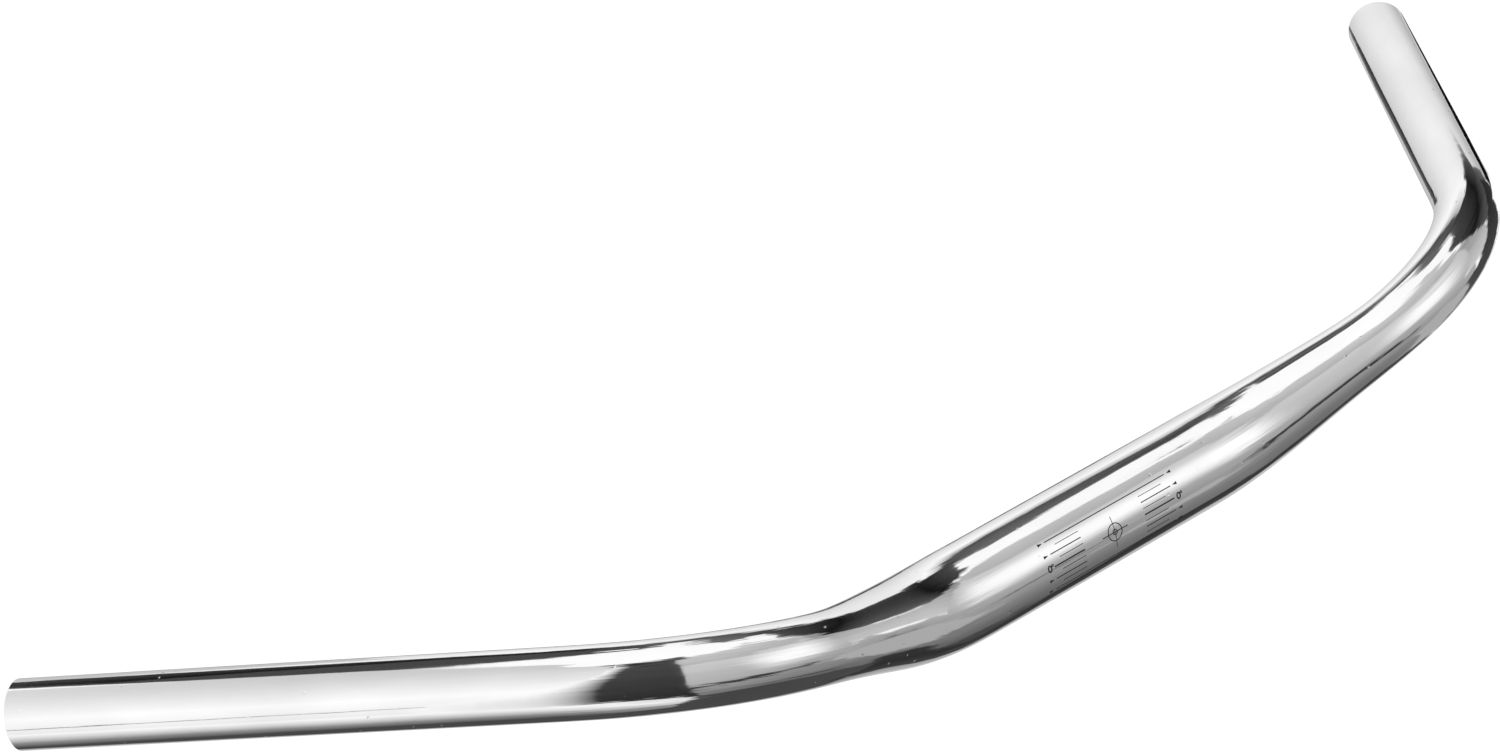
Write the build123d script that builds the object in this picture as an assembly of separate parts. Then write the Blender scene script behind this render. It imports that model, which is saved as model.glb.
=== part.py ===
from build123d import *
import os
from itertools import pairwise
from math import cos, radians, sin, tan

# Swept-back city handlebar: one aluminium tube, drawn, swaged thinner at both arms and bent.
# Millimetres and degrees. The origin is the middle of the clamp zone. X runs along the clamp
# zone, with the rider's left at +X, -Y is the direction of travel and +Z is up.

# Round sections of the tube
CLAMP_DIAMETER = 31.8
CLAMP_WALL = 2.6
GRIP_DIAMETER = 22.2
GRIP_WALL = 2.0
END_CHAMFER = 0.4

# Lengths along the centreline
CLAMP_WIDTH = 100.0
TAPER_LENGTH = 85.0
REACH_LENGTH = 36.0
GRIP_LENGTH = 182.0

# First bend: each arm leaves the clamp zone outwards, forwards and up
KICK_RADIUS = 66.0
KICK_FORWARD_ANGLE = 25.0
KICK_RISE_ANGLE = 17.5

# Second bend: the grips turn back towards the rider and still rise a little
SWEEP_RADIUS = 68.0
SWEEP_BACK_ANGLE = 52.0
GRIP_RISE_ANGLE = 5.5

# Steps of the taper's lofts: in the kick bend, and in each run after it
KICK_STEPS = 6
RUN_STEPS = 4


def heading(back, rise):
    """Unit direction of a run of the +X arm, turned back from +X and then lifted."""
    level = cos(radians(rise))
    return Vector(level * cos(radians(back)), level * sin(radians(back)), sin(radians(rise)))


def bend_step(before, after, radius):
    """Step from the start of a bend to its end: one tangent length along each direction."""
    turn = radians(before.get_angle(after))
    return (before + after) * (radius * tan(turn / 2))


def arm_path():
    """Centreline of the +X arm, from the edge of the clamp zone to the cut end."""
    out = heading(0, 0)
    kick = heading(-KICK_FORWARD_ANGLE, KICK_RISE_ANGLE)
    grip = heading(SWEEP_BACK_ANGLE, GRIP_RISE_ANGLE)
    clamp_edge = out * (CLAMP_WIDTH / 2)
    kick_end = clamp_edge + bend_step(out, kick, KICK_RADIUS)
    sweep_start = kick_end + kick * REACH_LENGTH
    sweep_end = sweep_start + bend_step(kick, grip, SWEEP_RADIUS)
    cut_end = sweep_end + grip * GRIP_LENGTH
    runs = [
        TangentArc(clamp_edge, kick_end, tangent=out),
        Line(kick_end, sweep_start),
        TangentArc(sweep_start, sweep_end, tangent=kick),
        Line(sweep_end, cut_end),
    ]
    return Wire([run.edge() for run in runs])


def across(path, distance):
    """Plane square to the path at a distance along it, with its x axis kept level."""
    centre = path.position_at(distance, position_mode=PositionMode.LENGTH)
    along = path.tangent_at(distance, position_mode=PositionMode.LENGTH)
    return Plane(origin=centre, x_dir=along.cross(Vector(0, 0, 1)), z_dir=along)


def taper_marks(path):
    """Distances along the path where the taper's lofts meet: its two ends and the run ends between."""
    marks = [0.0]
    for run in path.edges():
        marks.append(min(marks[-1] + run.length, TAPER_LENGTH))
    return sorted(set(marks))


def taper_section(path, distance, clamp_radius, grip_radius):
    """Circle of the swaged zone, whose radius eases from clamp size to grip size."""
    share = distance / TAPER_LENGTH
    ease = share**2 * (3 - 2 * share)
    return across(path, distance) * Circle(clamp_radius + (grip_radius - clamp_radius) * ease)


def taper(path, clamp_radius, grip_radius):
    """Swaged zone, one loft for each run that it passes, because the tube bends while it thins."""
    lofts = []
    for start, end in pairwise(taper_marks(path)):
        steps = RUN_STEPS if start else KICK_STEPS
        distances = [start + (end - start) * step / steps for step in range(steps + 1)]
        lofts.append(loft([taper_section(path, d, clamp_radius, grip_radius) for d in distances]))
    return Part() + lofts


def bar(clamp_diameter, grip_diameter):
    """Solid round bar along the whole centreline, made once for the skin and once for the bore."""
    path = arm_path()
    clamp = Cylinder(clamp_diameter / 2, CLAMP_WIDTH, rotation=(0, 90, 0))
    slim_run = path.trim(TAPER_LENGTH / path.length, 1)
    slim = sweep(across(path, TAPER_LENGTH) * Circle(grip_diameter / 2), path=slim_run)
    arm = taper(path, clamp_diameter / 2, grip_diameter / 2) + slim
    return clamp + arm + mirror(arm, about=Plane.YZ)


def handlebar():
    """Hollow tube, cut square at both ends, with the cut edges broken inside and out."""
    skin = bar(CLAMP_DIAMETER, GRIP_DIAMETER)
    bore = bar(CLAMP_DIAMETER - 2 * CLAMP_WALL, GRIP_DIAMETER - 2 * GRIP_WALL)
    tube = skin - bore
    cut_faces = tube.faces().filter_by(GeomType.PLANE)
    return chamfer(cut_faces.edges(), END_CHAMFER)


os.makedirs("parts", exist_ok=True)
export_step(handlebar(), "parts/handlebar.step")
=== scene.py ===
from itertools import pairwise
from math import ceil, cos, pi, radians, sin

import bmesh
import bpy
from mathutils import Matrix, Vector


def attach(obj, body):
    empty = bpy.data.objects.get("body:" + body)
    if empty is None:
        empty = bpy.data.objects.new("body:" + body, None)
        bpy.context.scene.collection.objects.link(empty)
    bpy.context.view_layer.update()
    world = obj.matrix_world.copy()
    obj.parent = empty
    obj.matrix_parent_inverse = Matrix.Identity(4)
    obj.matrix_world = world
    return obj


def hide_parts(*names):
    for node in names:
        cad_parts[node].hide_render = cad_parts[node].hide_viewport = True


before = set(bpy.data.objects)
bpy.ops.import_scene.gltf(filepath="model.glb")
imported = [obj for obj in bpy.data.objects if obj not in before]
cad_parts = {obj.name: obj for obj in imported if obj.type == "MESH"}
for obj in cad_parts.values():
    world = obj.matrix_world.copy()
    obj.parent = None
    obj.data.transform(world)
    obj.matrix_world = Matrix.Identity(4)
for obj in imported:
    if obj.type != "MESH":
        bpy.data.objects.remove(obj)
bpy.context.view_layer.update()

# A polished aluminium city handlebar on a pale ground, seen from the front, a little from above
# and from the rider's right. Lengths are in millimetres and become metres where a mesh is made.
MM = 0.001
BODY = "root"
NODE = "handlebar"

# Sizes of the tube, the same as in the part's source
CLAMP_DIAMETER = 31.8
CLAMP_WALL = 2.6
GRIP_DIAMETER = 22.2
GRIP_WALL = 2.0
END_CHAMFER = 0.4
CLAMP_WIDTH = 100.0
TAPER_LENGTH = 85.0
REACH_LENGTH = 36.0
GRIP_LENGTH = 182.0
KICK_RADIUS = 66.0
KICK_FORWARD_ANGLE = 25.0
KICK_RISE_ANGLE = 17.5
SWEEP_RADIUS = 68.0
SWEEP_BACK_ANGLE = 52.0
GRIP_RISE_ANGLE = 5.5

# Sizes that follow from them: the two radii, and both ends of the taper along an arm
CLAMP_RADIUS = CLAMP_DIAMETER / 2
GRIP_RADIUS = GRIP_DIAMETER / 2
TAPER_START = CLAMP_WIDTH / 2
TAPER_END = TAPER_START + TAPER_LENGTH

# A mandrel bend starts and ends softly. Each bend keeps its angle and radius, and its curve
# comes in and goes out over this length. That carries the grips outwards and back by less than
# the slack, so it comes off the two straight runs of each arm.
BEND_EASE = 24.0
EASE_SLACK = 0.6

# Place of the bare metal among the tube's two finishes, after the polished skin
BORE_INDEX = 1

# Fineness of the tube's mesh: sides of a ring, and steps between rings
RING_SIDES = 96
STRAIGHT_STEP = 12.0
BEND_STEP = 1.5

# The two arms merge where they meet, rims turn by more than the rim angle and are broken in a few
# segments, and edges that turn by more than the sharp angle are shaded sharp
MERGE_DISTANCE = 0.001
RIM_ANGLE = radians(60)
RIM_SEGMENTS = 3
SHARP_ANGLE = radians(10)

# Printed scale on the front of the clamp zone: lines round the front at equal angles, with a
# mark at the outer ends of every second line, a nought at the middle one, and a target
INK_FILM = 0.03
INK_RING_SIDES = 32
LINE_PITCH = 7.65
LINE_STEPS = 4
LINE_INNER = 13.3
LONG_LINE_OUTER = 26.45
SHORT_LINE_OUTER = 23.4
HAIR_WIDTH = 0.22
LINE_WIDTH = 0.34
ZERO_WIDTH = 0.5
MARK_PLACE = 28.6
MARK_SIZE = (1.3, 0.6)
NOUGHT_PLACE = 28.4
NOUGHT_SIZE = (0.66, 1.0)
DEGREE_STEP = (1.25, 0.75)
DEGREE_SIZE = (0.32, 0.32)
TARGET_ALONG = 11.0
TARGET_ROUND = 10.7
TARGET_RING = 2.9
TARGET_DOT = 0.85


def linear(code):
    """Linear colour with full alpha from an sRGB hex code."""
    shares = [int(code[place:place + 2], 16) / 255 for place in (1, 3, 5)]
    return [s / 12.92 if s <= 0.04045 else ((s + 0.055) / 1.055) ** 2.4 for s in shares] + [1.0]


def add_node(tree, kind, settings=None, sockets=None):
    """Adds a node, sets its properties, and sets or links its input sockets."""
    made = tree.nodes.new(kind)
    for name, value in (settings or {}).items():
        setattr(made, name, value)
    for name, value in (sockets or {}).items():
        if isinstance(value, bpy.types.NodeSocket):
            tree.links.new(value, made.inputs[name])
        else:
            made.inputs[name].default_value = value
    return made


def new_material(name):
    """Empty node material with only its output node."""
    material = bpy.data.materials.new(name)
    material.use_nodes = True
    material.node_tree.nodes.clear()
    return material, material.node_tree, add_node(material.node_tree, "ShaderNodeOutputMaterial")


def new_piece(name, bm, material):
    """Mesh object from a bmesh in metres, at the origin."""
    mesh = bpy.data.meshes.new(name)
    bm.to_mesh(mesh)
    bm.free()
    mesh.materials.append(material)
    piece = bpy.data.objects.new(name, mesh)
    bpy.context.scene.collection.objects.link(piece)
    return piece


# The tube

def heading(back, rise):
    """Unit direction of a run of the +X arm, turned back from +X and then lifted."""
    level = cos(radians(rise))
    return Vector((level * cos(radians(back)), level * sin(radians(back)), sin(radians(rise))))


def straight_run(length):
    """A straight run of the centreline."""
    return {"length": length, "axis": Vector((0, 0, 1)), "curve": 0.0}


def bend_run(before, after, radius):
    """A bend from one direction to the next, about an axis square to both."""
    length = before.angle(after) * radius + BEND_EASE
    return {"length": length, "axis": before.cross(after).normalized(), "curve": 1 / radius}


def arm_runs():
    """Runs of the +X arm's centreline, from the middle of the clamp zone to the cut end."""
    out = heading(0, 0)
    kick = heading(-KICK_FORWARD_ANGLE, KICK_RISE_ANGLE)
    grip = heading(SWEEP_BACK_ANGLE, GRIP_RISE_ANGLE)
    return [
        straight_run((CLAMP_WIDTH - BEND_EASE) / 2),
        bend_run(out, kick, KICK_RADIUS),
        straight_run(REACH_LENGTH - BEND_EASE - EASE_SLACK),
        bend_run(kick, grip, SWEEP_RADIUS),
        straight_run(GRIP_LENGTH - BEND_EASE / 2 - EASE_SLACK),
    ]


def tube_radius(distance, clamp_radius, grip_radius):
    """Radius at a distance along the arm: clamp size, eased through the taper, then grip size."""
    share = min(max((distance - TAPER_START) / TAPER_LENGTH, 0), 1)
    return clamp_radius + (grip_radius - clamp_radius) * share**2 * (3 - 2 * share)


def eased(distance, length):
    """How much of a bend's full curve lies before a distance into it."""
    left = length - distance
    if distance < BEND_EASE:
        return distance**2 / (2 * BEND_EASE)
    if left < BEND_EASE:
        return length - BEND_EASE - left**2 / (2 * BEND_EASE)
    return distance - BEND_EASE / 2


def ring_motion(run, start, end, centre, along):
    """Matrix that carries a ring from one distance along a run to the next, turning as the run does."""
    turn = run["curve"] * (eased(end, run["length"]) - eased(start, run["length"]))
    ahead = Matrix.Rotation(turn / 2, 3, run["axis"]) @ along * (end - start)
    turned = Matrix.Rotation(turn, 4, run["axis"])
    return Matrix.Translation(centre + ahead) @ turned @ Matrix.Translation(-centre)


def ring_steps(run, start):
    """Pairs of distances into a run from ring to ring, which lie closer in a bend and in the taper."""
    fine = run["curve"] or TAPER_START < start < TAPER_END
    steps = ceil(run["length"] / (BEND_STEP if fine else STRAIGHT_STEP))
    return pairwise(run["length"] * step / steps for step in range(steps + 1))


def bend_share(run, distance):
    """Share of a run's full curve that the tube has at a distance into it: none in a straight run."""
    if not run["curve"]:
        return 0.0
    return min(1, distance / BEND_EASE, (run["length"] - distance) / BEND_EASE)


def ring_edges(verts):
    """Edges between the vertices of one ring, each once and in the ring's order."""
    ring = set(verts)
    found = (edge for vert in verts for edge in vert.link_edges if edge.other_vert(vert) in ring)
    return list(dict.fromkeys(found))


def draw_wall(bm, drawn, strain, clamp_radius, grip_radius):
    """One wall of the +X arm: a circle extruded ring by ring along the runs. Returns its last ring.
    Each point keeps its place on the tube before bending, and how much the bend has strained it."""
    circle = bmesh.ops.create_circle(
        bm, segments=RING_SIDES, radius=clamp_radius, matrix=Matrix.Rotation(pi / 2, 4, "Y")
    )
    for vert in circle["verts"]:
        vert[drawn] = vert.co
    ring = ring_edges(circle["verts"])
    centre, along, start = Vector(), Vector((1, 0, 0)), 0.0
    for run in arm_runs():
        for here, there in ring_steps(run, start):
            made = bmesh.ops.extrude_edge_only(bm, edges=ring)["geom"]
            verts = [item for item in made if isinstance(item, bmesh.types.BMVert)]
            motion = ring_motion(run, here, there, centre, along)
            centre = motion @ centre
            along = motion.to_3x3() @ along
            growth = tube_radius(start + there, clamp_radius, grip_radius)
            growth /= tube_radius(start + here, clamp_radius, grip_radius)
            bmesh.ops.transform(bm, verts=verts, matrix=motion)
            bmesh.ops.scale(bm, verts=verts, vec=[growth] * 3, space=Matrix.Translation(-centre))
            for vert in verts:
                vert[drawn] = (start + there, vert[drawn].y * growth, vert[drawn].z * growth)
                vert[strain] = bend_share(run, there)
            ring = ring_edges(verts)
        start += run["length"]
    return ring


def make_tube(skin, bore):
    """Hollow tube: the outer and inner wall of one arm, joined at the cut end, then mirrored."""
    bm = bmesh.new()
    drawn = bm.verts.layers.float_vector.new("drawn_place")
    strain = bm.verts.layers.float.new("bend_strain")
    outer = draw_wall(bm, drawn, strain, CLAMP_RADIUS, GRIP_RADIUS)
    polished = set(bm.faces)
    inner = draw_wall(bm, drawn, strain, CLAMP_RADIUS - CLAMP_WALL, GRIP_RADIUS - GRIP_WALL)
    bmesh.ops.bridge_loops(bm, edges=outer + inner)
    for face in set(bm.faces) - polished:
        face.material_index = BORE_INDEX
    arm = bm.verts[:] + bm.edges[:] + bm.faces[:]
    bmesh.ops.mirror(bm, geom=arm, axis="X", merge_dist=MERGE_DISTANCE)
    for vert in bm.verts:
        if vert.co.x < 0:
            vert[drawn] = (-vert[drawn].x, vert[drawn].y, vert[drawn].z)
    bmesh.ops.recalc_face_normals(bm, faces=bm.faces)
    rims = [edge for edge in bm.edges if edge.calc_face_angle() > RIM_ANGLE]
    bmesh.ops.bevel(
        bm, geom=rims, offset=END_CHAMFER, affect="EDGES", segments=RIM_SEGMENTS, profile=0.5,
        material=-1,
    )
    bmesh.ops.scale(bm, verts=bm.verts, vec=[MM] * 3)
    tube = new_piece("bar_tube", bm, skin)
    tube.data.materials.append(bore)
    tube.data.shade_smooth()
    tube.data.set_sharp_from_angle(angle=SHARP_ANGLE)
    return tube


# The printed scale

def ink_film(bm, faces, centre, angle):
    """Lifts a flat mark to the film's thickness and lays it round the clamp zone."""
    made = bmesh.ops.extrude_face_region(bm, geom=faces, use_keep_orig=True)["geom"]
    raised = [item for item in made if isinstance(item, bmesh.types.BMVert)]
    bmesh.ops.translate(bm, verts=raised, vec=(0, 0, INK_FILM))
    for vert in set(raised) | {vert for face in faces for vert in face.verts}:
        turn = radians(angle) + (vert.co.y + centre[1]) / CLAMP_RADIUS
        reach = CLAMP_RADIUS + vert.co.z
        vert.co = (vert.co.x + centre[0], -reach * cos(turn), reach * sin(turn))


def faces_of(verts):
    """Faces on some vertices, each once and in the vertices' order."""
    return list(dict.fromkeys(face for vert in verts for face in vert.link_faces))


def ink_bar(bm, along, across, centre, angle):
    """Straight line of ink, along the bar or round it."""
    made = bmesh.ops.create_grid(bm, x_segments=1, y_segments=ceil(across), size=0.5)["verts"]
    bmesh.ops.scale(bm, verts=made, vec=(along, across, 1))
    ink_film(bm, faces_of(made), centre, angle)


def ink_ring(bm, size, width, centre, angle):
    """Oval of ink line, with its half width and half height to the middle of the line."""
    rings = []
    for side in (-0.5, 0.5):
        made = bmesh.ops.create_circle(bm, segments=INK_RING_SIDES, radius=1)["verts"]
        bmesh.ops.scale(bm, verts=made, vec=(size[0] + side * width, size[1] + side * width, 1))
        rings += ring_edges(made)
    ink_film(bm, bmesh.ops.bridge_loops(bm, edges=rings)["faces"], centre, angle)


def ink_mark(bm, centre, angle):
    """Small solid wedge that points along its line."""
    made = bmesh.ops.create_circle(bm, cap_ends=True, segments=3, radius=1)["verts"]
    turn = pi / 2 if centre[0] > 0 else -pi / 2
    bmesh.ops.rotate(bm, verts=made, matrix=Matrix.Rotation(turn, 3, "Z"))
    bmesh.ops.scale(bm, verts=made, vec=(*MARK_SIZE, 1))
    ink_film(bm, faces_of(made), centre, angle)


def make_scale(material):
    """Scale and target that show how far the bar is turned and shifted in its stem."""
    bm = bmesh.new()
    for step in range(-LINE_STEPS, LINE_STEPS + 1):
        angle = step * LINE_PITCH
        marked = step % 2 == 0
        outer = LONG_LINE_OUTER if marked else SHORT_LINE_OUTER
        inner = 0 if abs(step) == LINE_STEPS else LINE_INNER
        width = LINE_WIDTH if marked else HAIR_WIDTH
        if step == 0:
            width = ZERO_WIDTH
        for side in (-1, 1):
            ink_bar(bm, outer - inner, width, (side * (inner + outer) / 2, 0), angle)
            if marked and step:
                ink_mark(bm, (side * MARK_PLACE, 0), angle)
    for side in (-1, 1):
        place = side * NOUGHT_PLACE
        ink_ring(bm, NOUGHT_SIZE, ZERO_WIDTH, (place, 0), 0)
        ink_ring(bm, DEGREE_SIZE, LINE_WIDTH, (place + DEGREE_STEP[0], DEGREE_STEP[1]), 0)
    ink_bar(bm, TARGET_ALONG, LINE_WIDTH, (0, 0), 0)
    ink_bar(bm, HAIR_WIDTH, TARGET_ROUND, (0, 0), 0)
    ink_ring(bm, (TARGET_RING, TARGET_RING), LINE_WIDTH, (0, 0), 0)
    ink_ring(bm, (TARGET_DOT, TARGET_DOT), LINE_WIDTH, (0, 0), 0)
    bmesh.ops.recalc_face_normals(bm, faces=bm.faces)
    bmesh.ops.scale(bm, verts=bm.verts, vec=[MM] * 3)
    return new_piece("turn_scale", bm, material)


# Materials

# Noise lies mostly between these two shares, which are spread over a material's range
NOISE_SPAN = {"From Min": 0.25, "From Max": 0.75}

# Places of a colour mix's two colours among its sockets, and of its result
MIX_LOW, MIX_HIGH, MIX_RESULT = 6, 7, 2

# Length and width of the drawn patterns, and sizes of the others, in millimetres
DRAWN_LINE = (60.0, 2.4)
BORE_LINE = (60.0, 1.4)
BUFF_PATCH = (40.0, 14.0)
BUFF_WAVE = (30.0, 20.0)
NICK_SPACING = 7.0
NICK_REACH = (0.2, 0.5)
INK_PATCH = 1.1
PAPER_CLOUD = 330.0

# Depths of the same, in millimetres, deeper than the real ones so that they show
LINE_DEPTH = 0.18
WAVE_DEPTH = 0.12
NICK_DEPTH = 0.08
BORE_LINE_DEPTH = 0.02


def drawn_lines(tree, size):
    """Noise drawn out along the tube to a length and width, as it lay before the tube was bent."""
    long, fine = size
    place = add_node(tree, "ShaderNodeAttribute", {"attribute_name": "drawn_place"})
    stretch = add_node(tree, "ShaderNodeMapping", sockets={
        "Vector": place.outputs["Vector"],
        "Scale": (1 / long, 1 / fine, 1 / fine),
    })
    return add_node(tree, "ShaderNodeTexNoise", sockets={
        "Vector": stretch.outputs["Vector"],
        "Scale": 1.0,
        "Detail": 3.0,
    }).outputs["Fac"]


def polished_aluminium():
    """Drawn tube, buffed bright: a neutral mirror. Drawing leaves faint lines along the tube, which
    open up where a bend strains the metal. Buffing by hand leaves long soft waves and patches that
    are a little less bright, and handling leaves a few small nicks. The lines are drawn coarser
    than the real ones, 2.4 mm wide, so that they show."""
    material, tree, output = new_material("polished_aluminium")
    lines = drawn_lines(tree, DRAWN_LINE)
    patches = drawn_lines(tree, BUFF_PATCH)
    strain = add_node(tree, "ShaderNodeAttribute", {"attribute_name": "bend_strain"})
    opened = add_node(tree, "ShaderNodeMapRange", sockets={
        "Value": strain.outputs["Fac"],
        "To Min": 0.12,
        "To Max": 1.0,
    })
    place = add_node(tree, "ShaderNodeTexCoord")
    cells = add_node(tree, "ShaderNodeTexVoronoi", sockets={
        "Vector": place.outputs["Object"],
        "Scale": 1 / (NICK_SPACING * MM),
    })
    nicks = add_node(tree, "ShaderNodeMapRange", sockets={
        "Value": cells.outputs["Distance"],
        "From Min": NICK_REACH[0] / NICK_SPACING,
        "From Max": NICK_REACH[1] / NICK_SPACING,
    }).outputs["Result"]
    waves = add_node(tree, "ShaderNodeBump", sockets={
        "Height": drawn_lines(tree, BUFF_WAVE),
        "Strength": 1.0,
        "Distance": WAVE_DEPTH * MM,
    })
    grain = add_node(tree, "ShaderNodeBump", sockets={
        "Height": lines,
        "Normal": waves.outputs["Normal"],
        "Strength": opened.outputs["Result"],
        "Distance": LINE_DEPTH * MM,
    })
    dents = add_node(tree, "ShaderNodeBump", sockets={
        "Height": nicks,
        "Normal": grain.outputs["Normal"],
        "Strength": 1.0,
        "Distance": NICK_DEPTH * MM,
    })
    share = add_node(tree, "ShaderNodeMapRange", sockets={"Value": patches, **NOISE_SPAN})
    tone = add_node(tree, "ShaderNodeMix", {"data_type": "RGBA"}, {
        "Factor": share.outputs["Result"],
        MIX_LOW: linear("#ECECEC"),
        MIX_HIGH: linear("#F6F6F6"),
    })
    gloss = add_node(tree, "ShaderNodeMapRange", sockets={
        "Value": lines, **NOISE_SPAN, "To Min": 0.06, "To Max": 0.1,
    })
    shader = add_node(tree, "ShaderNodeBsdfPrincipled", sockets={
        "Base Color": tone.outputs[MIX_RESULT],
        "Metallic": 1.0,
        "Roughness": gloss.outputs["Result"],
        "Normal": dents.outputs["Normal"],
    })
    tree.links.new(shader.outputs["BSDF"], output.inputs["Surface"])
    return material


def bore_aluminium():
    """Inside of the tube and its sawn ends: bare drawn metal, grey and dull, with marked lines, which
    are drawn coarser than the real ones, 1.4 mm wide, so that they show."""
    material, tree, output = new_material("bore_aluminium")
    lines = drawn_lines(tree, BORE_LINE)
    share = add_node(tree, "ShaderNodeMapRange", sockets={"Value": lines, **NOISE_SPAN})
    tone = add_node(tree, "ShaderNodeMix", {"data_type": "RGBA"}, {
        "Factor": share.outputs["Result"],
        MIX_LOW: linear("#A1A1A1"),
        MIX_HIGH: linear("#CFCFCF"),
    })
    gloss = add_node(tree, "ShaderNodeMapRange", sockets={
        "Value": lines, **NOISE_SPAN, "To Min": 0.34, "To Max": 0.5,
    })
    grain = add_node(tree, "ShaderNodeBump", sockets={
        "Height": lines,
        "Strength": 1.0,
        "Distance": BORE_LINE_DEPTH * MM,
    })
    shader = add_node(tree, "ShaderNodeBsdfPrincipled", sockets={
        "Base Color": tone.outputs[MIX_RESULT],
        "Metallic": 1.0,
        "Roughness": gloss.outputs["Result"],
        "Normal": grain.outputs["Normal"],
    })
    tree.links.new(shader.outputs["BSDF"], output.inputs["Surface"])
    return material


def scale_ink():
    """Thin black printing ink: matt, and a little thinner in places, where the metal greys it."""
    material, tree, output = new_material("printed_ink")
    place = add_node(tree, "ShaderNodeTexCoord")
    patches = add_node(tree, "ShaderNodeTexNoise", sockets={
        "Vector": place.outputs["Object"],
        "Scale": 1 / (INK_PATCH * MM),
        "Detail": 2.0,
    }).outputs["Fac"]
    share = add_node(tree, "ShaderNodeMapRange", sockets={"Value": patches, **NOISE_SPAN})
    tone = add_node(tree, "ShaderNodeMix", {"data_type": "RGBA"}, {
        "Factor": share.outputs["Result"],
        MIX_LOW: linear("#0B0C0D"),
        MIX_HIGH: linear("#1E1F20"),
    })
    gloss = add_node(tree, "ShaderNodeMapRange", sockets={
        "Value": patches, **NOISE_SPAN, "To Min": 0.42, "To Max": 0.6,
    })
    shader = add_node(tree, "ShaderNodeBsdfPrincipled", sockets={
        "Base Color": tone.outputs[MIX_RESULT],
        "Roughness": gloss.outputs["Result"],
    })
    tree.links.new(shader.outputs["BSDF"], output.inputs["Surface"])
    return material


tube = make_tube(polished_aluminium(), bore_aluminium())
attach(tube, BODY)
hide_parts(NODE)
scale = make_scale(scale_ink())
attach(scale, BODY)

# The stage: a pale floor, white surroundings, and cards that only the metal's mirror sees. They
# make a small studio: a dark table, pale walls, a dark gap between the walls and the ceiling, a
# soft box in front, black flags at the right, and the dark place where the camera stands.
# A card has the shades of its lower and upper edge, and four corners on a ball round the bar:
# lower left, lower right, upper right and upper left. Each corner has its azimuth (0 is behind
# the bar, 90 at the rider's left) and its elevation. Each card stands in front of the last one.
WHITE = "#FFFFFF"
PALE = "#E1E1E1"
LIGHT = "#C8C8C8"
GREY = "#AAAAAA"
MID = "#8C8C8C"
DIM = "#646464"
DUSK = "#464646"
DARK = "#282828"
BLACK = "#0A0A0A"
CARDS = [
    ("table", DUSK, DUSK, (-180, -90), (180, -90), (180, -35), (-180, -35)),
    ("left_wall", PALE, WHITE, (-135, -60), (-60, -35), (-40, 10), (-130, 10)),
    ("left_foot", MID, WHITE, (-100, -70), (-55, -33), (-75, -15), (-135, -60)),
    ("left_shadow", DUSK, MID, (-60, -75), (-35, -35), (-55, -33), (-100, -70)),
    ("left_wall_top", WHITE, LIGHT, (-130, 10), (-40, 10), (-30, 65), (-140, 65)),
    ("back_foot", MID, PALE, (-35, -32), (65, -65), (70, -20), (-35, -20)),
    ("back_wall", GREY, WHITE, (-5, -20), (65, -20), (65, 40), (-5, 40)),
    ("back_wall_top", WHITE, GREY, (30, 32), (66, 32), (66, 44), (30, 44)),
    ("back_corner", GREY, LIGHT, (-15, -20), (15, -20), (15, 25), (-15, 30)),
    ("back_skirting", DIM, BLACK, (-10, -8), (40, -8), (35, 0), (-10, -5)),
    ("back_gap", DUSK, DUSK, (-20, 43), (35, 43), (40, 65), (-40, 65)),
    ("back_gap_corner", DUSK, BLACK, (-10, 32), (0, 28), (30, 45), (-20, 50)),
    ("side_gap", DUSK, DIM, (30, 43), (75, 43), (75, 57), (30, 57)),
    ("ceiling_edge", DIM, DIM, (55, 57), (80, 57), (80, 65), (50, 65)),
    ("front_wall", GREY, LIGHT, (110, 30), (210, 30), (210, 60), (125, 60)),
    ("front_side", LIGHT, MID, (95, -10), (125, -10), (125, 35), (105, 35)),
    ("front_near", GREY, LIGHT, (160, -20), (215, -20), (205, 35), (160, 35)),
    ("front_box", GREY, LIGHT, (120, -15), (185, -15), (185, 35), (120, 35)),
    ("front_foot", DIM, GREY, (85, -60), (220, -55), (220, -20), (110, -10)),
    ("front_rail", DARK, DUSK, (165, -31), (220, -29), (215, -22), (140, -25)),
    ("right_foot", GREY, GREY, (95, -50), (140, -35), (130, -25), (50, -20)),
    ("right_skirting", DARK, DUSK, (45, -65), (95, -55), (95, -45), (40, -50)),
    ("right_gap", BLACK, DUSK, (65, 25), (110, 25), (112, 50), (63, 52)),
    ("right_gap_foot", DIM, BLACK, (70, 5), (95, 5), (110, 25), (60, 30)),
    ("right_flag", DUSK, DARK, (70, -33), (110, -23), (95, 10), (75, 15)),
    ("right_haze", GREY, PALE, (60, 0), (71, 3), (69, 15), (60, 15)),
    ("right_pane", WHITE, WHITE, (55, -15), (75, -10), (80, 0), (65, -5)),
    ("pane_edge", BLACK, BLACK, (50, -12), (73, -2), (73, 4), (50, -6)),
    ("left_seam", BLACK, BLACK, (-115, -17), (-75, -6), (-75, -5), (-115, -16)),
    ("camera_gap", DARK, DUSK, (-140, -50), (-107, -33), (-132, 55), (-160, 60)),
    ("camera_soft", DARK, WHITE, (-107, -33), (-132, 55), (-124, 55), (-90, -28)),
    ("camera_gap_top", BLACK, DIM, (-170, 55), (-120, 55), (-100, 65), (-170, 65)),
]

# Widest cell of a card in degrees, the first card's distance, and the step from card to card
CARD_CELL = 5
CARD_FAR = 950
CARD_STEP = 4

# The cards shine a little brighter than their shades, because the metal gives back a little less
CARD_STRENGTH = 1.12
SURROUND_STRENGTH = 1.1

# The soft box has a bright heart, which rises from its edges at this rate across the card
SOFT_BOX = "front_box"
HEART_RISE = 2.5


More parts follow.
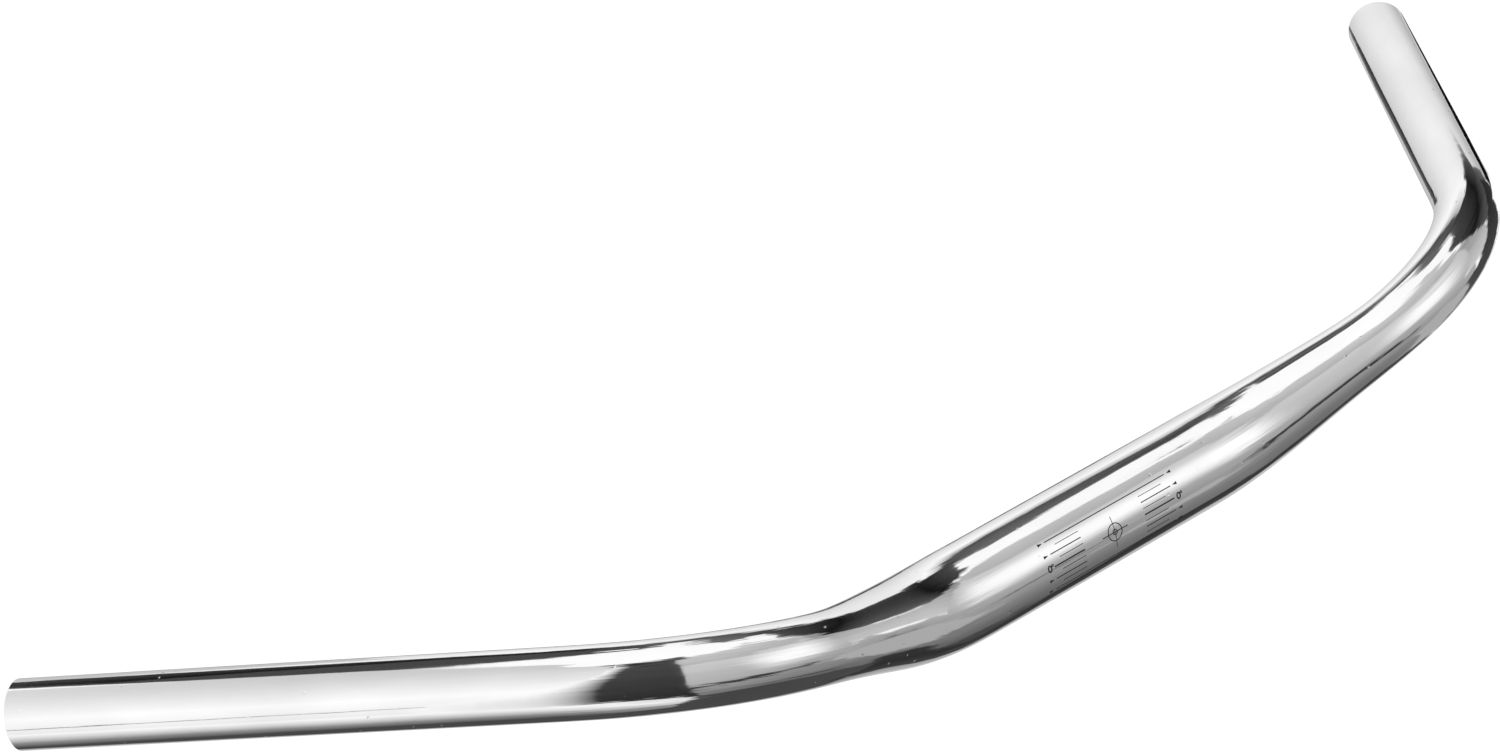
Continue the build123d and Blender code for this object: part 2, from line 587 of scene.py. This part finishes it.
def studio_light():
    """Light of the cards: each place on a card shines in the shade that is kept there."""
    material, tree, output = new_material("studio_card")
    shade = add_node(tree, "ShaderNodeVertexColor", {"layer_name": "shade"})
    light = add_node(tree, "ShaderNodeEmission", sockets={
        "Color": shade.outputs["Color"],
        "Strength": CARD_STRENGTH,
    })
    tree.links.new(light.outputs["Emission"], output.inputs["Surface"])
    return material


def heart_share(across, up):
    """How much of a soft box's heart shows at a place on it: none at its edges, and a soft rise."""
    rises = [min(1, HEART_RISE * min(place, 1 - place)) for place in (across, up)]
    return rises[0] ** 2 * (3 - 2 * rises[0]) * rises[1] ** 2 * (3 - 2 * rises[1])


def make_card(name, distance, low, high, corners, material, heart):
    """Curved card between four corners, shaded from its lower to its upper edge. A soft box also
    has a brighter heart."""
    low_left, low_right, high_right, high_left = (Vector(corner) for corner in corners)
    spans = low_right - low_left, high_left - low_left
    cells = [ceil(max(abs(angle) for angle in span) / CARD_CELL) for span in spans]
    low, high = Vector(linear(low)), Vector(linear(high))
    bm = bmesh.new()
    shade = bm.verts.layers.float_color.new("shade")
    bmesh.ops.create_grid(bm, x_segments=cells[0], y_segments=cells[1], size=0.5)
    for vert in bm.verts:
        across, up = vert.co.x + 0.5, vert.co.y + 0.5
        below, above = low_left.lerp(low_right, across), high_left.lerp(high_right, across)
        turn, lift = (radians(angle) for angle in below.lerp(above, up))
        vert[shade] = low.lerp(high, up)
        if heart:
            vert[shade] = vert[shade].lerp(Vector(linear(heart)), heart_share(across, up))
        vert.co = Vector((sin(turn) * cos(lift), cos(turn) * cos(lift), sin(lift))) * distance * MM
    card = new_piece(name, bm, material)
    card.visible_camera = False
    card.visible_diffuse = False
    card.visible_shadow = False


card_light = studio_light()
for place, (name, low, high, *corners) in enumerate(CARDS):
    heart = WHITE if name == SOFT_BOX else None
    make_card(name + "_card", CARD_FAR - CARD_STEP * place, low, high, corners, card_light, heart)


def floor_paper():
    """Seamless white studio paper, with the faintest cloudiness."""
    material, tree, output = new_material("studio_paper")
    place = add_node(tree, "ShaderNodeTexCoord")
    cloud = add_node(tree, "ShaderNodeTexNoise", sockets={
        "Vector": place.outputs["Object"],
        "Scale": 1 / (PAPER_CLOUD * MM),
    }).outputs["Fac"]
    share = add_node(tree, "ShaderNodeMapRange", sockets={"Value": cloud, **NOISE_SPAN})
    tone = add_node(tree, "ShaderNodeMix", {"data_type": "RGBA"}, {
        "Factor": share.outputs["Result"],
        MIX_LOW: linear("#FAFAFA"),
        MIX_HIGH: linear("#FDFDFD"),
    })
    shader = add_node(tree, "ShaderNodeBsdfPrincipled", sockets={
        "Base Color": tone.outputs[MIX_RESULT],
        "Roughness": 0.9,
    })
    tree.links.new(shader.outputs["BSDF"], output.inputs["Surface"])
    return material


# The paper lies well below the bar, so that no shadow falls in the picture
FLOOR_LEVEL = -600.0
FLOOR_SIZE = 8000.0
paper = bmesh.new()
bmesh.ops.create_grid(paper, x_segments=1, y_segments=1, size=FLOOR_SIZE / 2 * MM)
bmesh.ops.translate(paper, verts=paper.verts, vec=(0, 0, FLOOR_LEVEL * MM))
floor = new_piece("floor", paper, floor_paper())
floor.visible_glossy = False

bpy.context.scene.view_settings.view_transform = "Standard"
world = bpy.data.worlds.new("studio")
world.use_nodes = True
surround = world.node_tree.nodes["Background"]
surround.inputs["Color"].default_value = linear(WHITE)
surround.inputs["Strength"].default_value = SURROUND_STRENGTH
bpy.context.scene.world = world

# The camera, as it stood for the photograph
CAMERA_PLACE = (-677.6, -910.8, 438.9)
CAMERA_TURN = (71.707, 15.520, -37.205)
CAMERA_LENS = 90.52
SENSOR_WIDTH = 36.0
camera = bpy.data.objects.new("camera", bpy.data.cameras.new("camera"))
camera.data.sensor_width = SENSOR_WIDTH
camera.data.lens = CAMERA_LENS
camera.location = Vector(CAMERA_PLACE) * MM
camera.rotation_euler = [radians(turn) for turn in CAMERA_TURN]
bpy.context.scene.collection.objects.link(camera)
bpy.context.scene.camera = camera
